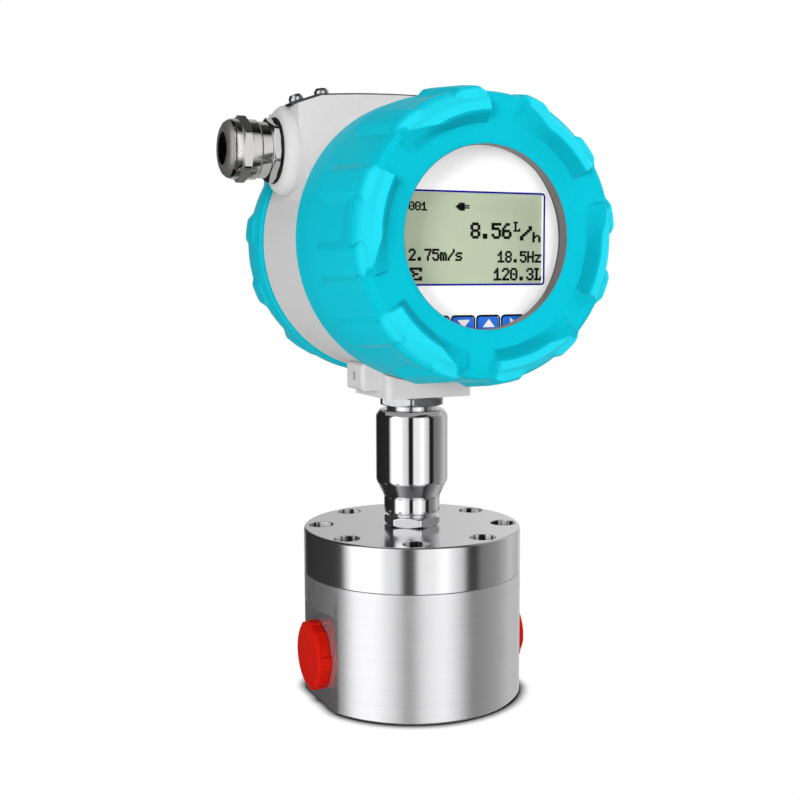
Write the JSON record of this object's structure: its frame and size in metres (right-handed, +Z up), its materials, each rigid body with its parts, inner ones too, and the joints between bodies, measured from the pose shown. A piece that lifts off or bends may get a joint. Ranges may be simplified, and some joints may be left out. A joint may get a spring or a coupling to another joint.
{
  "type": "gear flow meter",
  "caption": "Liquid flow meter: round steel gear chamber with plugged side ports, a short stem, and a swivelling two-compartment display head with screwed covers and a cable gland.",
  "frame": {"origin": "centre of the meter body's flat underside", "axes": "+Z up along the stem, -Y out of the display window, -X out of the cable gland"},
  "size_m": [0.143, 0.1435, 0.2584],
  "materials": {
    "turned_steel": "fine turned",
    "polished_steel": "polished",
    "ground_steel": "ground",
    "fastener_steel": "plain",
    "plate_steel": "satin sheet",
    "bearing_brass": "machined",
    "magnet": "plated",
    "seal_rubber": "matt",
    "red_plastic": "satin moulded",
    "grey_paint": "semi-gloss paint on a die casting",
    "cyan_paint": "gloss paint on a die casting",
    "white_plastic": "printed face",
    "lcd": "display module",
    "board": "circuit board laminate",
    "blue_keys": "satin keys",
    "gland_plating": "nickel plated",
    "window": "clear toughened",
    "retainer": "dark anodised"
  },
  "bodies": {
    "meter": {"chamber_body": "turned_steel", "chamber_cover": "turned_steel", "cover_bolts": "fastener_steel", "chamber_seal": "seal_rubber", "dowel_pins": "fastener_steel", "gear_axles": "ground_steel", "pickup_sensor": "ground_steel", "stem_fitting": "turned_steel", "stem_sleeve": "polished_steel", "stem_nipple": "turned_steel", "stem_lock_nut": "fastener_steel", "inlet_bush": "turned_steel", "outlet_bush": "turned_steel"},
    "front_gear": {"front_gear": "ground_steel", "front_gear_bush": "bearing_brass", "gear_magnets": "magnet"},
    "rear_gear": {"rear_gear": "ground_steel", "rear_gear_bush": "bearing_brass"},
    "inlet_plug": {"inlet_plug": "red_plastic"},
    "outlet_plug": {"outlet_plug": "red_plastic"},
    "head": {"housing": "grey_paint", "neck_set_screw": "fastener_steel", "top_plate": "plate_steel", "top_plate_screws": "fastener_steel", "display_bezel": "white_plastic", "lcd_panel": "lcd", "display_board": "board", "main_board": "board", "upper_standoffs": "bearing_brass", "lower_standoffs": "bearing_brass", "terminal_block": "board", "terminal_screws": "fastener_steel", "gland_gasket": "seal_rubber", "gland_body": "gland_plating", "gland_seal": "seal_rubber", "blanking_plug": "gland_plating"},
    "front_seal": {"front_cover_seal": "seal_rubber"},
    "front_cover": {"front_cover": "cyan_paint", "window_glass": "window", "glass_gasket": "seal_rubber", "glass_retainer": "retainer"},
    "rear_seal": {"rear_cover_seal": "seal_rubber"},
    "rear_cover": {"rear_cover": "cyan_paint"},
    "gland_washer": {"gland_washer": "fastener_steel"},
    "gland_nut": {"gland_nut": "gland_plating"},
    "key_set": {"key_set": "blue_keys"},
    "key_down": {"key_down": "blue_keys"},
    "key_up": {"key_up": "blue_keys"},
    "key_right": {"key_right": "blue_keys"}
  },
  "joints": [
    {"name": "front_gear_spin", "type": "hinge", "parent": "meter", "child": "front_gear", "pos_m": [0, -0.01408, 0.0425], "axis": [0, 0, 1], "continuous": true},
    {"name": "rear_gear_spin", "type": "hinge", "parent": "meter", "child": "rear_gear", "pos_m": [0, 0.01408, 0.0425], "axis": [0, 0, 1], "continuous": true},
    {"name": "inlet_plug_pull", "type": "slide", "parent": "meter", "child": "inlet_plug", "axis": [-1, 0, 0], "range_m": [0, 0.03]},
    {"name": "outlet_plug_pull", "type": "slide", "parent": "meter", "child": "outlet_plug", "axis": [1, 0, 0], "range_m": [0, 0.03]},
    {"name": "head_swivel", "type": "hinge", "parent": "meter", "child": "head", "pos_m": [0, 0, 0.136], "axis": [0, 0, 1], "range_deg": [-170, 170]},
    {"name": "front_cover_advance", "type": "slide", "parent": "head", "child": "front_seal", "axis": [0, -1, 0], "range_m": [0, 0.009]},
    {"name": "front_cover_turn", "type": "hinge", "parent": "front_seal", "child": "front_cover", "pos_m": [0, -0.04, 0.1962], "axis": [0, -1, 0], "range_deg": [0, 1620]},
    {"name": "rear_cover_advance", "type": "slide", "parent": "head", "child": "rear_seal", "axis": [0, 1, 0], "range_m": [0, 0.011]},
    {"name": "rear_cover_turn", "type": "hinge", "parent": "rear_seal", "child": "rear_cover", "pos_m": [0, 0.045, 0.1962], "axis": [0, 1, 0], "range_deg": [0, 1980]},
    {"name": "gland_nut_advance", "type": "slide", "parent": "head", "child": "gland_washer", "axis": [-1, 0, 0], "range_m": [0, 0.006]},
    {"name": "gland_nut_turn", "type": "hinge", "parent": "gland_washer", "child": "gland_nut", "pos_m": [-0.075, 0.008, 0.2335], "axis": [-1, 0, 0], "range_deg": [0, 1440]},
    {"name": "key_set_press", "type": "slide", "parent": "head", "child": "key_set", "axis": [0, 1, 0], "range_m": [0, 0.0005], "stiffness_N_per_m": 700},
    {"name": "key_down_press", "type": "slide", "parent": "head", "child": "key_down", "axis": [0, 1, 0], "range_m": [0, 0.0005], "stiffness_N_per_m": 700},
    {"name": "key_up_press", "type": "slide", "parent": "head", "child": "key_up", "axis": [0, 1, 0], "range_m": [0, 0.0005], "stiffness_N_per_m": 700},
    {"name": "key_right_press", "type": "slide", "parent": "head", "child": "key_right", "axis": [0, 1, 0], "range_m": [0, 0.0005], "stiffness_N_per_m": 700}
  ],
  "couplings": [
    {"joint": "rear_gear_spin", "follows": "front_gear_spin", "ratio": -1},
    {"joint": "front_cover_turn", "follows": "front_cover_advance", "rad_per_m": 3141.6},
    {"joint": "rear_cover_turn", "follows": "rear_cover_advance", "rad_per_m": 3141.6},
    {"joint": "gland_nut_turn", "follows": "gland_nut_advance", "rad_per_m": 4188.8}
  ]
}
